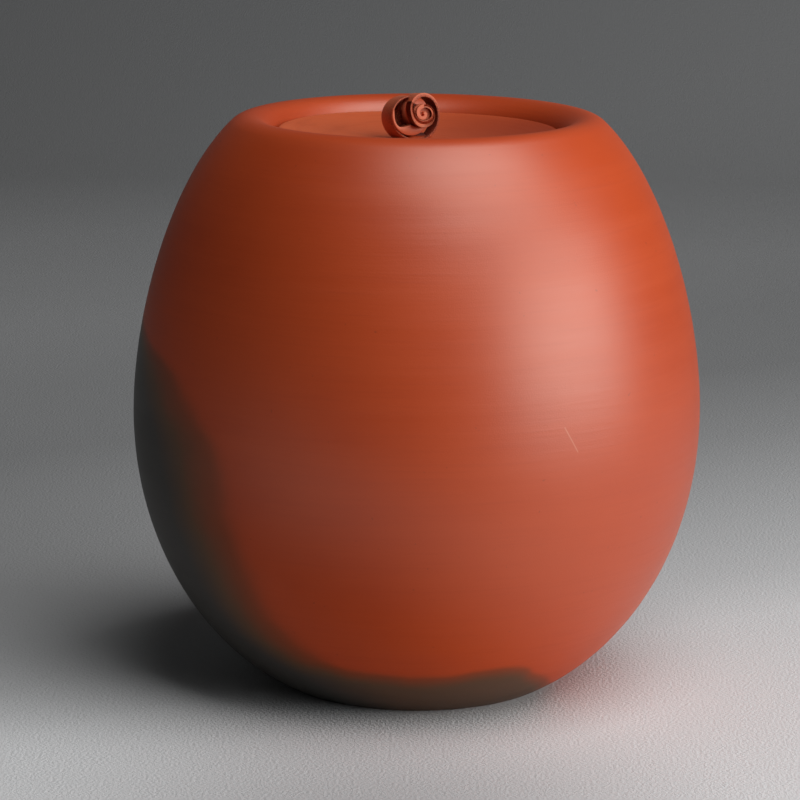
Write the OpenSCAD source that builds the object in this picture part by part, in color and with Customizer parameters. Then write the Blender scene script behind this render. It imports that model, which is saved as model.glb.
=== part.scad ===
// Covered water jar of burnished red clay: a thrown egg-shaped jar with a rolled-in rim,
// a dished lid that drops on to a ledge inside the mouth, and a knob made of one curled
// ribbon of clay. All sizes are in millimetres, the jar stands on z = 0 and its axis is Z.
// The coil of the knob opens towards -Y, a little to the right.

/* [Jar] */
// Widest diameter of the jar, at its belly
belly_d = 186; // [178:1:196]
// Height of the widest place above the table
belly_h = 90; // [85:1:96]
// Height of the top of the rim above the table
rim_h = 187; // [181:1:196]
// Diameter of the flat that the jar stands on
base_d = 89; // [80:1:96]
// Slope of the wall where it leaves the base, in degrees
base_slope = 26.5; // [22:0.5:31]
// How far the wall keeps that slope before it bends upwards
base_reach = 32.5; // [28:0.5:37]
// How far the wall runs near upright below the belly
belly_below = 40; // [35:1:45]
// How far the wall runs near upright above the belly
belly_above = 32.5; // [27:0.5:37]
// Slope of the shoulder where it runs into the rim, in degrees
shoulder_slope = 43; // [39:1:47]
// How far the shoulder keeps that slope below the rim
shoulder_reach = 26.5; // [21:0.5:30]
// Thickness of the thrown wall
wall_t = 6; // [5:0.5:7]
// Thickness of the floor
floor_t = 7; // [6:0.5:9]
// Diameter of the shallow hollow trimmed into the underside
hollow_d = 66; // [50:1:72]
// Depth of that hollow
hollow_depth = 1.6; // [1:0.2:2.4]

/* [Rim and lid seat] */
// Diameter of the circle through the middle of the rolled rim
rim_d = 110; // [106:1:114]
// Radius of the roll of the rim
rim_roll = 8.4; // [7.4:0.2:9]
// Depth of the lid's ledge below the top of the rim
seat_drop = 9.6; // [9.2:0.2:12]
// How far the ledge stands in from the mouth
seat_w = 5.6; // [4:0.2:7]
// Thickness of the ledge at its rounded nose
seat_t = 4.2; // [3.4:0.2:5]

/* [Lid] */
// Thickness of the lid at its edge
lid_t = 4.6; // [4:0.2:6]
// Gap between the lid's edge and the mouth, all round
lid_gap = 0.9; // [0.6:0.1:1.6]
// How far the middle of the lid is dished below its edge
lid_dish = 3; // [1.5:0.1:3.4]
// Diameter of the level spot in the middle that carries the knob
spot_d = 22; // [20:1:30]
// Rounding of the lid's edges
lid_round = 1.1; // [0.6:0.1:1.6]

/* [Knob ribbon] */
// Width of the ribbon, front edge to back edge
ribbon_w = 8.4; // [7:0.2:10]
// Thickness of the ribbon in the tight scroll
ribbon_t = 1.45; // [1.1:0.05:1.6]
// Thickness of the ribbon where it is thickest, at its sole on the lid
sole_t = 3.2; // [2.6:0.1:3.3]
// Thickness of the ribbon at the crown of the scroll
crown_t = 1.9; // [1.5:0.1:2]
// Thickness of the ribbon at its two feathered ends
tip_t = 0.6; // [0.4:0.1:0.8]
// How far the coil's mouth is turned to the right, in degrees
ribbon_turn = 22; // [10:1:30]
// How far the coil leans back, so that its mouth looks up, in degrees
ribbon_lean = 7; // [3:0.5:9]
// How far the front edge of the big loop lies in front of the lid's middle
loop_front = 3.5; // [2:0.5:5]
// How far the tight scroll stands out in front of the big loop
scroll_push = 3; // [1:0.5:4]
// How far the loop leans outwards from its front edge to its back edge
loop_flare = 0.5; // [0.2:0.1:0.8]
// How far the core of the scroll lies to the left of the lid's middle
core_left = 0.9; // [0:0.1:3]
// Height of the core above the lid, at the back edge of the loop
core_h = 7.8; // [7.5:0.1:8.1]

/* [Knob coil radii] */
// Radius at the inner tip of the scroll
core_r = 0.7; // [0.6:0.05:0.8]
// Radius at the left of the scroll, where it starts to open
scroll_r = 3.9; // [3.7:0.1:4.2]
// Radius at the crown of the scroll
crown_r = 5.9; // [5.8:0.1:6.2]
// Radius at the right-hand flank
flank_r = 5.4; // [5.3:0.1:5.8]
// Radius at the sole that stands on the lid
sole_r = 7.1; // [6.9:0.1:7.3]
// Radius at the left-hand bow of the big loop
bow_r = 8.8; // [8.6:0.1:9.2]
// Radius that the ribbon draws in to behind the crown
tail_r = 5.7; // [5.5:0.1:6.4]

/* [Hidden] */

clay_colour = "#b0502c";
lid_colour = "#b45a36";
knob_colour = "#c06a48";

// Steps in each curve of an outline, and faces round the jar
curve_steps = 20;
roll_steps = 14;
nose_steps = 8;
dish_steps = 8;
round_faces = 180;

belly_r = belly_d / 2;
base_r = base_d / 2;
hollow_r = hollow_d / 2;
rim_r = rim_d / 2;
mouth_r = rim_r - rim_roll;
roll_z = rim_h - rim_roll;
seat_z = rim_h - seat_drop;
seat_r = mouth_r - seat_w;
nose_r = seat_t / 2;
lid_r = mouth_r - lid_gap;
lid_top = seat_z + lid_t;
spot_z = lid_top - lid_dish;
spot_r = spot_d / 2;

// A point on a cubic curve with ends a and d and handles b and c, and its direction there
function cubic(a, b, c, d, t) =
    pow(1 - t, 3) * a + 3 * pow(1 - t, 2) * t * b + 3 * (1 - t) * t * t * c + t * t * t * d;
function cubic_way(a, b, c, d, t) =
    pow(1 - t, 2) * (b - a) + 2 * (1 - t) * t * (c - b) + t * t * (d - c);
function right_of(way) = [way[1], -way[0]] / norm(way);

// The outer wall: one curve from the base to the belly, one from the belly to the rim
low_curve = [
    [base_r, 0],
    [base_r, 0] + base_reach * [cos(base_slope), sin(base_slope)],
    [belly_r, belly_h - belly_below],
    [belly_r, belly_h]
];
roll_start = [rim_r, roll_z] + rim_roll * [sin(shoulder_slope), cos(shoulder_slope)];
high_curve = [
    [belly_r, belly_h],
    [belly_r, belly_h + belly_above],
    roll_start + shoulder_reach * [cos(shoulder_slope), -sin(shoulder_slope)],
    roll_start
];
function wall_point(c, t, depth) =
    cubic(c[0], c[1], c[2], c[3], t) - depth * right_of(cubic_way(c[0], c[1], c[2], c[3], t));

function arc(centre, r, from, to, steps) =
    [for (i = [0 : steps]) let (a = from + (to - from) * i / steps) centre + r * [cos(a), sin(a)]];

outer_wall = concat(
    [for (i = [0 : curve_steps]) wall_point(low_curve, i / curve_steps, 0)],
    [for (i = [1 : curve_steps - 1]) wall_point(high_curve, i / curve_steps, 0)]
);
upright = 90;
under_angle = 250;
rim_arc = arc([rim_r, roll_z], rim_roll, upright - shoulder_slope, 180, roll_steps);
nose_arc = arc([seat_r + nose_r, seat_z - nose_r], nose_r, upright, under_angle, nose_steps);
ledge_bottom = seat_z - seat_t;

// The inner wall is the outer one moved in by its thickness, between the floor and the ledge
inner_wall = concat(
    [for (i = [curve_steps : -1 : 1])
        let (p = wall_point(high_curve, i / curve_steps, wall_t)) if (p[1] < ledge_bottom - wall_t / 2) p],
    [for (i = [curve_steps : -1 : 0])
        let (p = wall_point(low_curve, i / curve_steps, wall_t)) if (p[1] > floor_t) p]
);
floor_r = inner_wall[len(inner_wall) - 1][0] - wall_t / 2;

// The whole jar is one thrown piece, so its section is one outline turned round the axis
module jar_body() {
    color(clay_colour)
    rotate_extrude($fn = round_faces)
    polygon(concat(
        [[0, hollow_depth], [hollow_r - hollow_depth, hollow_depth], [hollow_r, 0]],
        outer_wall,
        rim_arc,
        [[mouth_r, seat_z]],
        nose_arc,
        inner_wall,
        [[floor_r, floor_t], [0, floor_t]]
    ));
}

// Height of the dished face above its lowest level, at a radius from the axis
function dish_rise(r) = lid_dish * pow(max(0, r - spot_r) / (lid_r - lid_round - spot_r), 2);

// The lid is a shallow saucer: its rim lies flat on the ledge, its middle sags a little
module lid_plate() {
    edge_r = lid_r - lid_round;
    sag_r = seat_r - lid_gap;
    color(lid_colour)
    rotate_extrude($fn = round_faces)
    polygon(concat(
        [[0, seat_z - lid_dish], [spot_r, seat_z - lid_dish], [sag_r, seat_z]],
        arc([edge_r, seat_z + lid_round], lid_round, 270, 360, nose_steps),
        arc([edge_r, lid_top - lid_round], lid_round, 0, 90, nose_steps),
        [for (i = [dish_steps - 1 : -1 : 0])
            let (r = spot_r + (edge_r - spot_r) * i / dish_steps) [r, spot_z + dish_rise(r)]],
        [[0, spot_z]]
    ));
}

// Places along the ribbon are counted in quarter turns from its inner tip outwards. Radii are
// given at each quarter turn, and a smooth curve through its neighbours joins them
scroll_steps = 7;
coil_radii = concat(
    [for (q = [0 : scroll_steps]) core_r + (scroll_r - core_r) * q / scroll_steps],
    [crown_r, flank_r, sole_r, bow_r, tail_r]
);
end_turn = 11.6;
turn_steps = 12;
ribbon_steps = floor(end_turn * turn_steps);

function pick(list, i) = list[max(0, min(len(list) - 1, i))];
function smooth_at(list, q) =
    let (i = floor(q), t = q - i, a = pick(list, i - 1), b = pick(list, i), c = pick(list, i + 1), d = pick(list, i + 2))
    b + t * ((c - a) + t * ((2 * a - 5 * b + 4 * c - d) + t * (3 * (b - c) + d - a))) / 2;
function ease(t) = let (s = max(0, min(1, t))) s * s * (3 - 2 * s);

// The ribbon is thickest a little past the bottom of the loop and feathers out at its ends
sole_turn = 10.35;
crown_turn = 8;
swell_turn = 1.15;
feather_turn = 1.3;
function thick_at(q) =
    ribbon_t
    + (sole_t - ribbon_t) * ease(1 - abs(q - sole_turn) / swell_turn)
    + (crown_t - ribbon_t) * ease(1 - abs(q - crown_turn) / swell_turn)
    - (ribbon_t - tip_t) * (1 - ease(min(q, end_turn - q) / feather_turn));

// The scroll stands forward of the loop, and only the loop leans outwards at its back
loop_back = loop_front - ribbon_w;
function forward(q) = loop_front + scroll_push * ease((end_turn - 1 - q) / 3);
function flare(q) = loop_flare * ease((q - scroll_steps - 1) / 2);

// The ends of the ribbon are rounded off in width
tip_turn = 0.9;
tip_share = 0.45;
function width_at(q) =
    let (s = min(1, min(q, end_turn - q) / tip_turn))
    ribbon_w * (tip_share + (1 - tip_share) * sqrt(s * (2 - s)));

// Section of the ribbon: an oblong with eased corners, as [back from the front edge, outwards]
function section(w, t) =
    let (c = 0.3 * t, h = t / 2)
    [[0, h - c], [c, h], [w - c, h], [w, h - c], [w, c - h], [w - c, -h], [c, -h], [0, c - h]];

function ribbon_point(q, p) =
    let (
        r = smooth_at(coil_radii, q) + p[1] + flare(q) * p[0] / ribbon_w,
        across = r * sin(90 * q) - core_left,
        rise = r * cos(90 * q),
        reach = forward(q) - (ribbon_w - width_at(q)) / 2 - p[0] - loop_back,
        ahead = loop_back + reach * cos(ribbon_lean) - rise * sin(ribbon_lean),
        up = max(0, core_h + rise * cos(ribbon_lean) + reach * sin(ribbon_lean))
    )
    [
        across * cos(ribbon_turn) + ahead * sin(ribbon_turn),
        across * sin(ribbon_turn) - ahead * cos(ribbon_turn),
        spot_z + up
    ];

// One ribbon of clay, rolled into a scroll and carried on into the loop that stands on the lid
module curled_knob() {
    rings = [for (i = [0 : ribbon_steps]) end_turn * i / ribbon_steps];
    points = [for (q = rings) for (p = section(width_at(q), thick_at(q))) ribbon_point(q, p)];
    n = len(section(ribbon_w, ribbon_t));
    sides = [for (i = [0 : ribbon_steps - 1]) for (j = [0 : n - 1])
        let (a = i * n + j, b = i * n + (j + 1) % n) for (f = [[a, b, b + n], [a, b + n, a + n]]) f];
    start_cap = [for (j = [1 : n - 2]) [0, j + 1, j]];
    last = ribbon_steps * n;
    end_cap = [for (j = [1 : n - 2]) [last, last + j, last + j + 1]];
    color(knob_colour)
    polyhedron(points = points, faces = concat(sides, start_cap, end_cap), convexity = 8);
}

jar_body();
lid_plate();
curled_knob();
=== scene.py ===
"""Covered water jar of burnished red clay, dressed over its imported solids.

The jar stands on the floor with its axis on Z. The photograph looks along +Y, so the front of
the jar is at -Y and an azimuth on it is counted from there, positive to the right.
The jar's, lid's and knob's sizes are in millimetres, as their maker would measure them. The
studio's sizes and all meshes are in metres.
"""
from __future__ import annotations

import logging
import math
from dataclasses import dataclass
from enum import Enum

import bpy
import numpy as np
from mathutils import Matrix, Vector

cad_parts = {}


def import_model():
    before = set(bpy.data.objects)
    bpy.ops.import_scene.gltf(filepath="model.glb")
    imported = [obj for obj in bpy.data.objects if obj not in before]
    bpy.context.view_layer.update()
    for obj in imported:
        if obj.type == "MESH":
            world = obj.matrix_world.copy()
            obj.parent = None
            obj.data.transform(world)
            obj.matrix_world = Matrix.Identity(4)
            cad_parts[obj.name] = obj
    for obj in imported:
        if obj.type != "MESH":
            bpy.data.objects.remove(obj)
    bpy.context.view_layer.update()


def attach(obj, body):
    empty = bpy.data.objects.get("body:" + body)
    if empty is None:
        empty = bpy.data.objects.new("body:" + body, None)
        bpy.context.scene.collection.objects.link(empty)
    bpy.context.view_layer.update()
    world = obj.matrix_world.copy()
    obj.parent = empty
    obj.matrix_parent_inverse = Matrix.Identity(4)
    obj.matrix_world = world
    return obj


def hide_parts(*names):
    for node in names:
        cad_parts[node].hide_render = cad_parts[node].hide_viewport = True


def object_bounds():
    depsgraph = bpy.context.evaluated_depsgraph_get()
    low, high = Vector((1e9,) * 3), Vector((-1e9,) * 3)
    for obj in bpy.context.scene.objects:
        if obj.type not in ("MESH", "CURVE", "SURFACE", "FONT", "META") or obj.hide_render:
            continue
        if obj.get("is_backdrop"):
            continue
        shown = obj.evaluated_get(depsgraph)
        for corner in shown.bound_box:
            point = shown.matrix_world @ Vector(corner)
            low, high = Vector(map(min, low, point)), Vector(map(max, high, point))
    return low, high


log = logging.getLogger("water_jar")

MM = 0.001
# Name of the point attribute that marks unburnished clay on the jar and painted shade in the knob's
# recesses.
RAW_AND_SHADE_SHARE = "raw_clay_and_painted_shade"
FULL_TURN = 2 * math.pi
Colour = tuple[float, float, float]
Stations = tuple[tuple[float, float], ...]
Socket = bpy.types.NodeSocket
Value = float | Socket


class Body(Enum):
    """The two parts that come apart on a bench."""

    JAR = "jar"
    LID = "lid"


class Slot(Enum):
    """The record's material slots."""

    JAR = "jar_clay"
    LID = "lid_clay"
    KNOB = "knob_clay"


def fired(red: int, green: int, blue: int) -> Colour:
    """Turns a colour as seen on a screen (0 to 255) into the linear colour that shaders take.

    Args:
        red: Red as seen, 0 to 255.
        green: Green as seen, 0 to 255.
        blue: Blue as seen, 0 to 255.

    Returns:
        The three linear values.
    """
    def linear(level: int) -> float:
        """The screen's curve undone for one channel."""
        share = level / 255
        return share / 12.92 if share <= 0.04045 else ((share + 0.055) / 1.055) ** 2.4

    return linear(red), linear(green), linear(blue)


def ease(share: np.ndarray) -> np.ndarray:
    """Smooth step: 3 s^2 - 2 s^3, with s held between 0 and 1."""
    held = np.clip(share, 0.0, 1.0)
    return held * held * (3.0 - 2.0 * held)


def through(stations: Stations, at: np.ndarray) -> np.ndarray:
    """A smooth curve through stations: cubics that share the slope drawn through their neighbours.

    Args:
        stations: Pairs of place and value, in order of place.
        at: The places to read.

    Returns:
        The values there, held at the first and the last station beyond them.
    """
    places, values = np.array(stations).T
    slopes = np.gradient(values, places)
    held = np.clip(at, places[0], places[-1])
    k = np.clip(np.searchsorted(places, held) - 1, 0, len(places) - 2)
    gap = places[k + 1] - places[k]
    t = (held - places[k]) / gap
    return ((1 + 2 * t) * (1 - t) ** 2 * values[k] + t * (1 - t) ** 2 * gap * slopes[k]
            + t ** 2 * (3 - 2 * t) * values[k + 1] + t ** 2 * (t - 1) * gap * slopes[k + 1])


def cubic(ends: np.ndarray, steps: int) -> np.ndarray:
    """Points on a cubic curve: the four corner points weighted by the Bernstein cubics of t.

    Args:
        ends: The four corner points, one a row.
        steps: How many equal steps of t from 0 to 1.

    Returns:
        The points, steps + 1 rows.
    """
    t = np.linspace(0.0, 1.0, steps + 1)[:, None]
    return ((1 - t) ** 3 * ends[0] + 3 * (1 - t) ** 2 * t * ends[1]
            + 3 * (1 - t) * t ** 2 * ends[2] + t ** 3 * ends[3])


def arc(centre: tuple[float, float], radius: float, start: float, end: float, steps: int) -> np.ndarray:
    """Points on an arc: centre plus radius times (cosine, sine) of an angle that runs evenly.

    Args:
        centre: The arc's centre.
        radius: The arc's radius.
        start: First angle in degrees.
        end: Last angle in degrees.
        steps: How many equal steps.

    Returns:
        The points, steps + 1 rows.
    """
    turn = np.radians(np.linspace(start, end, steps + 1))
    return np.array(centre) + radius * np.c_[np.cos(turn), np.sin(turn)]


def resample(line: np.ndarray, spacing: float) -> np.ndarray:
    """Points at an even spacing along a line, found by its running length.

    Args:
        line: The line's points, one a row.
        spacing: The longest distance between two new points.

    Returns:
        The new points, both ends kept.
    """
    along = np.r_[0.0, np.cumsum(np.linalg.norm(np.diff(line, axis=0), axis=1))]
    count = max(2, int(math.ceil(along[-1] / spacing)) + 1)
    where = np.linspace(0.0, along[-1], count)
    return np.c_[tuple(np.interp(where, along, line[:, k]) for k in range(line.shape[1]))]


def make_mesh(name: str, points: np.ndarray, faces: list[np.ndarray],
              raw_and_shade: np.ndarray | None = None) -> bpy.types.Object:
    """Puts points in millimetres and faces into a new smooth-shaded object.

    Args:
        name: The piece's name.
        points: One point a row, in millimetres.
        faces: Arrays of corner numbers, one face a row, each array with its own face size.
        raw_and_shade: For each point, how far its clay is unburnished on the jar, and how dark its painted
            shade is on the knob, 0 to 1.

    Returns:
        The object, at the origin.
    """
    mesh = bpy.data.meshes.new(name)
    mesh.from_pydata((points * MM).tolist(), [], [row for block in faces for row in block.tolist()])
    mesh.polygons.foreach_set("use_smooth", np.ones(len(mesh.polygons), dtype=bool))
    mesh.update()
    if raw_and_shade is not None:
        shares = mesh.attributes.new(RAW_AND_SHADE_SHARE, "FLOAT", "POINT")
        shares.data.foreach_set("value", raw_and_shade.astype(np.float32))
    piece = bpy.data.objects.new(name, mesh)
    bpy.context.scene.collection.objects.link(piece)
    return piece


def round_turn(around: int) -> np.ndarray:
    """Angles in radians at even steps round a full turn."""
    return np.linspace(0, FULL_TURN, around, endpoint=False)


def turned_points(across: np.ndarray, ahead: np.ndarray, height: np.ndarray,
                  first_pole: float, last_pole: float) -> np.ndarray:
    """Points of a turned shape: its first pole, ring after ring, and its last pole.

    Args:
        across: Each point's x, rings by points.
        ahead: Each point's y, rings by points.
        height: Each point's height, or one height for each ring.
        first_pole: Height of the middle of the underside.
        last_pole: Height of the middle of the upper side.

    Returns:
        One point a row.
    """
    shell = np.stack([across, ahead, np.broadcast_to(height, across.shape)], axis=-1)
    return np.concatenate([[[0, 0, first_pole]], shell.reshape(-1, 3), [[0, 0, last_pole]]])


def turned_faces(rings: int, around: int) -> list[np.ndarray]:
    """Faces of a turned shape: quads between neighbouring rings, and a fan at each pole.

    Point 0 is the first pole, ring i starts at 1 + i * around, and the last point is the other
    pole. Rings run from the underside outwards, up the outside and back in.

    Args:
        rings: How many rings.
        around: Points on each ring, counter-clockwise from above.

    Returns:
        The quads and the triangles.
    """
    ring = 1 + around * np.arange(rings - 1)[:, None]
    here = np.arange(around)
    ahead = (here + 1) % around
    quads = np.stack([ring + here, ring + ahead, ring + around + ahead, ring + around + here], axis=-1)
    top = 1 + around * (rings - 1)
    fans = np.concatenate([
        np.stack([np.zeros(around, int), 1 + ahead, 1 + here], axis=-1),
        np.stack([top + here, top + ahead, np.full(around, top + around)], axis=-1),
    ])
    return [quads.reshape(-1, 4), fans]


def carried(rings: np.ndarray, first: int = 0) -> tuple[np.ndarray, list[np.ndarray]]:
    """Closes a section carried along a path: quads between neighbours, and a fan at each tip.

    Args:
        rings: Points as (step along the path, point of the section, x y z).
        first: The number that the first point will have in the mesh.

    Returns:
        All points, the middles of the two tips last, and the faces.
    """
    steps, size = rings.shape[0] - 1, rings.shape[1]
    here = np.arange(size)
    ahead = (here + 1) % size
    ring = size * np.arange(steps)[:, None]
    sides = np.stack([ring + here, ring + size + here, ring + size + ahead, ring + ahead], axis=-1)
    last, tip = size * steps, size * (steps + 1)
    fans = np.concatenate([
        np.stack([np.full(size, tip), here, ahead], axis=-1),
        np.stack([np.full(size, tip + 1), last + ahead, last + here], axis=-1)])
    middles = rings[[0, -1]].mean(axis=1)
    return np.concatenate([rings.reshape(-1, 3), middles]), [first + sides.reshape(-1, 4), first + fans]


class NodeBench:
    """Lays out a material's nodes and wires them."""

    def __init__(self, name: str) -> None:
        """Starts an empty node material with its output.

        Args:
            name: The material's name.
        """
        self.material = bpy.data.materials.new(name)
        self.material.use_nodes = True
        self.tree = self.material.node_tree
        self.tree.nodes.clear()
        self.output = self.add("ShaderNodeOutputMaterial")

    def add(self, kind: str, **settings: object) -> bpy.types.Node:
        """Adds a node and sets its options.

        Args:
            kind: The node's type.
            **settings: Options of the node by name.

        Returns:
            The node.
        """
        node = self.tree.nodes.new(kind)
        for option, value in settings.items():
            setattr(node, option, value)
        return node

    def feed(self, socket: Socket, value: Value | Colour | Vector) -> None:
        """Wires a socket to another one, or sets it to a fixed value.

        Args:
            socket: The input.
            value: What it gets: a socket, a number, a colour or a vector.
        """
        if isinstance(value, bpy.types.NodeSocket):
            self.tree.links.new(value, socket)
        elif isinstance(value, tuple) and socket.type == "RGBA":
            socket.default_value = (*value, 1.0)
        else:
            socket.default_value = value

    def calc(self, operation: str, *values: Value, clamp: bool = False) -> Socket:
        """One step of arithmetic on values or sockets.

        Args:
            operation: The Math node's operation.
            *values: Its inputs in order.
            clamp: Whether the result is held between 0 and 1.

        Returns:
            The result.
        """
        node = self.add("ShaderNodeMath", operation=operation, use_clamp=clamp)
        for socket, value in zip(node.inputs, values):
            self.feed(socket, value)
        return node.outputs[0]

    def step(self, value: Value, low: Value, high: Value) -> Socket:
        """A smooth step.

        Args:
            value: What is read.
            low: Where the step starts, at 0.
            high: Where it ends, at 1.

        Returns:
            The height of the step.
        """
        node = self.add("ShaderNodeMapRange", interpolation_type="SMOOTHSTEP")
        for name, given in (("Value", value), ("From Min", low), ("From Max", high)):
            self.feed(node.inputs[name], given)
        return node.outputs[0]

    def span(self, value: Value, low: float, high: float) -> Socket:
        """Spreads a value of 0 to 1 evenly over another range.

        Args:
            value: The value.
            low: What 0 becomes.
            high: What 1 becomes.

        Returns:
            The new value.
        """
        node = self.add("ShaderNodeMapRange")
        self.feed(node.inputs["Value"], value)
        node.inputs["To Min"].default_value = low
        node.inputs["To Max"].default_value = high
        return node.outputs[0]

    def split(self, place: Socket) -> list[Socket]:
        """Takes a place apart.

        Args:
            place: The place.

        Returns:
            Its x, y and z.
        """
        node = self.add("ShaderNodeSeparateXYZ")
        self.feed(node.inputs[0], place)
        return list(node.outputs)

    def vector(self, operation: str, first: Socket, second: Socket | Vector) -> bpy.types.Node:
        """One step of arithmetic on two vectors.

        Args:
            operation: The Vector Math node's operation.
            first: Its first vector.
            second: Its second vector.

        Returns:
            The node, because some operations give a vector and some a number.
        """
        node = self.add("ShaderNodeVectorMath", operation=operation)
        self.feed(node.inputs[0], first)
        self.feed(node.inputs[1], second)
        return node

    def stretched(self, place: Socket, sides: float, upright: float) -> Socket:
        """The place on the piece, scaled apart sideways and upright, for patterns that run level."""
        return self.vector("MULTIPLY", place, Vector((sides, sides, upright))).outputs[0]

    def noise(self, place: Socket, scale: float, detail: float = 3.0, roughness: float = 0.5) -> Socket:
        """Soft noise between 0 and 1.

        Args:
            place: The place on the piece.
            scale: Lumps to the metre.
            detail: How many finer layers are added.
            roughness: How strong each is beside the last.

        Returns:
            The noise.
        """
        node = self.add("ShaderNodeTexNoise")
        self.feed(node.inputs["Vector"], place)
        node.inputs["Scale"].default_value = scale
        node.inputs["Detail"].default_value = detail
        node.inputs["Roughness"].default_value = roughness
        return node.outputs[0]

    def curve(self, value: Socket, points: list[tuple[float, float]]) -> Socket:
        """A value read off a smooth curve.

        Args:
            value: Where the curve is read, 0 to 1.
            points: The points that it runs through, in the unit square.

        Returns:
            The curve's height there.
        """
        node = self.add("ShaderNodeFloatCurve")
        line = node.mapping.curves[0]
        for place, height in points[1:-1]:
            line.points.new(place, height)
        line.points[0].location = points[0]
        line.points[len(points) - 1].location = points[-1]
        node.mapping.update()
        self.feed(node.inputs["Value"], value)
        return node.outputs[0]

    def ramp(self, value: Socket, stops: list[tuple[float, Colour]]) -> Socket:
        """A colour read off a ramp.

        Args:
            value: Where the ramp is read, 0 to 1.
            stops: Places from 0 to 1 and their colours.

        Returns:
            The colour there.
        """
        node = self.add("ShaderNodeValToRGB")
        line = node.color_ramp
        for place, _ in stops[1:-1]:
            line.elements.new(place)
        for element, (place, colour) in zip(line.elements, stops):
            element.position = place
            element.color = (*colour, 1.0)
        self.feed(node.inputs[0], value)
        return node.outputs[0]

    def blend(self, share: Value, under: Socket | Colour, over: Socket | Colour) -> Socket:
        """Lays one colour over another.

        Args:
            share: How much of the upper colour shows.
            under: The lower colour.
            over: The upper colour.

        Returns:
            The blend.
        """
        node = self.add("ShaderNodeMix", data_type="RGBA")
        for place, given in ((0, share), (6, under), (7, over)):
            self.feed(node.inputs[place], given)
        return node.outputs[2]

    def bump(self, height: Socket, depth: float, under: Socket | None = None) -> Socket:
        """Turns the shading as if the surface rose with a pattern.

        Args:
            height: A pattern of 0 to 1.
            depth: The rise that 1 stands for, in metres.
            under: The bump that this one lies on.

        Returns:
            The turned normal.
        """
        node = self.add("ShaderNodeBump")
        self.feed(node.inputs["Height"], height)
        node.inputs["Distance"].default_value = depth
        if under is not None:
            self.feed(node.inputs["Normal"], under)
        return node.outputs[0]


@dataclass(frozen=True)
class FireCloud:
    """The smoked patch that the kiln left low on the left of the jar.

    The patch lies on the left side, between two limit azimuths that depend on the height, and
    runs on as a low band round the foot in front. Azimuths are degrees from the front, positive
    to the right, and heights are in millimetres.
    """

    side_limit: Stations = (
        (0, -15), (10, -23), (16, -29), (20, -32), (26, -36), (31, -38.5), (41, -41.5), (55, -44),
        (66, -46.5), (80, -48), (92, -51), (100, -56.5), (107, -61.5), (113, -68), (118, -79), (124, -98),
        (132, -125), (150, -170))
    top: float = 150.0
    back_limit: Stations = (
        (0, -148), (20, -150), (45, -150), (70, -145), (88, -135), (102, -120), (114, -104), (122, -92),
        (128, -82), (150, -60))
    side_softness: float = 18.0
    back_softness: float = 22.0
    foot_band: Stations = (
        (-180, 5), (-150, 8), (-120, 17), (-60, 17), (-30, 17), (-11, 16.5), (0, 16.5), (9, 17),
        (20, 18.5), (28, 18), (35, 14.5), (43, 11), (52, 6), (66, 2), (90, 0), (150, 2), (180, 5))
    foot_softness: float = 5.0
    foot_share: float = 0.68
    band_height: float = 30.0
    drift_scale: float = 26.0
    drift_aside: float = 5.0
    drift_up: float = 3.0

    def limit(self, bench: NodeBench, stations: Stations, height: Socket) -> Socket:
        """The azimuth of one side of the patch at each height.

        Args:
            bench: Where the nodes are laid out.
            stations: Pairs of height and azimuth.
            height: The height, in millimetres.

        Returns:
            The azimuth, in degrees.
        """
        share = bench.curve(bench.calc("DIVIDE", height, self.top, clamp=True),
                            [(level / self.top, (turn + 180) / 360) for level, turn in stations])
        return bench.calc("MULTIPLY_ADD", share, 360.0, -180.0)

    def cover(self, bench: NodeBench, place: Socket) -> Socket:
        """How much of the smoke lies on each point.

        Args:
            bench: Where the nodes are laid out.
            place: The place on the piece, in metres.

        Returns:
            0 on clean clay to 1 on fully smoked clay.
        """
        east, north, up = bench.split(place)
        drift = bench.span(bench.noise(place, self.drift_scale, 3.0, 0.55), -1.0, 1.0)
        azimuth = bench.calc("MULTIPLY", bench.calc("ARCTAN2", east, bench.calc("MULTIPLY", north, -1.0)),
                             180 / math.pi)
        height = bench.calc("DIVIDE", up, MM)
        soft_azimuth = bench.calc("MULTIPLY_ADD", drift, self.drift_aside, azimuth)
        soft_height = bench.calc("MULTIPLY_ADD", drift, self.drift_up, height)

        inside = bench.calc("SUBTRACT", self.limit(bench, self.side_limit, height), soft_azimuth)
        front = bench.step(inside, -self.side_softness, self.side_softness)
        beyond = bench.calc("SUBTRACT", soft_azimuth, self.limit(bench, self.back_limit, height))
        back = bench.step(beyond, -self.back_softness, self.back_softness)
        clear_side = bench.calc("SUBTRACT", 1.0, bench.calc("MULTIPLY", front, back))

        band = bench.curve(
            bench.calc("DIVIDE", bench.calc("ADD", azimuth, 180.0), 360.0, clamp=True),
            [((turn + 180) / 360, level / self.band_height) for turn, level in self.foot_band])
        depth = bench.calc("SUBTRACT", bench.calc("MULTIPLY", band, self.band_height), soft_height)
        foot = bench.step(depth, -self.foot_softness, self.foot_softness)
        clear_foot = bench.calc("MULTIPLY_ADD", foot, -self.foot_share, 1.0)
        return bench.calc("SUBTRACT", 1.0, bench.calc("MULTIPLY", clear_side, clear_foot))


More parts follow.
